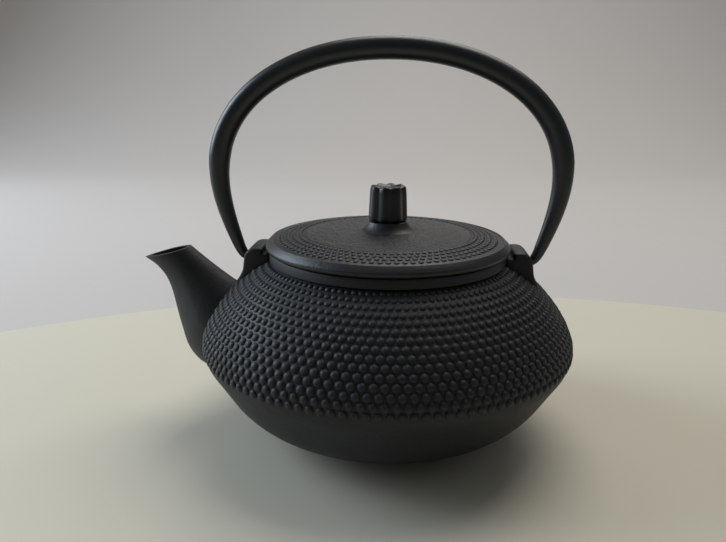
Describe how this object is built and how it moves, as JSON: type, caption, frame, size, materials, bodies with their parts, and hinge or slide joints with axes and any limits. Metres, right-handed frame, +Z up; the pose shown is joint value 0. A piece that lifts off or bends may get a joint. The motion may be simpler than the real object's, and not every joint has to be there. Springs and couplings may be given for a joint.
{
  "type": "cast iron teapot",
  "caption": "Squat round cast iron teapot with a dotted shoulder, short spout, tall arched bail, domed lid with a fluted knob, and a lift-out strainer.",
  "frame": {"origin": "centre of the flat foot, on the table", "axes": "+Z up, -X towards the spout, the bail stands in the XZ plane and swings about X"},
  "size_m": [0.1646, 0.14, 0.1468],
  "materials": {
    "pot_iron": "matt charcoal, sand-cast skin",
    "lid_iron": "matt charcoal, grained disc",
    "knob_iron": "gloss black",
    "bail_iron": "satin black",
    "enamel": "gloss black enamel lining",
    "stainless_steel": "satin",
    "stainless_mesh": "woven mesh"
  },
  "bodies": {
    "pot": {"pot_body": "pot_iron", "spout": "pot_iron"},
    "bail": {"bail": "bail_iron"},
    "lid": {"lid": "lid_iron"},
    "knob": {"knob": "knob_iron", "knob_washer": "stainless_steel"},
    "strainer": {"strainer_rim": "stainless_steel", "strainer_wall": "stainless_mesh", "strainer_floor": "stainless_mesh", "strainer_base_ring": "stainless_steel"}
  },
  "joints": [
    {"name": "bail_swing", "type": "hinge", "parent": "pot", "child": "bail", "pos_m": [0, 0, 0.0663], "axis": [1, 0, 0], "range_deg": [-106, 106]},
    {"name": "lid_lift", "type": "slide", "parent": "pot", "child": "lid", "axis": [0, 0, 1], "range_m": [0, 0.042]},
    {"name": "strainer_lift", "type": "slide", "parent": "pot", "child": "strainer", "axis": [0, 0, 1], "range_m": [0, 0.0357]},
    {"name": "knob_turn", "type": "hinge", "parent": "lid", "child": "knob", "pos_m": [0, 0, 0.086], "axis": [0, 0, 1], "continuous": true}
  ],
  "couplings": [
    {"joint": "strainer_lift", "follows": "lid_lift", "ratio": 0.85}
  ]
}
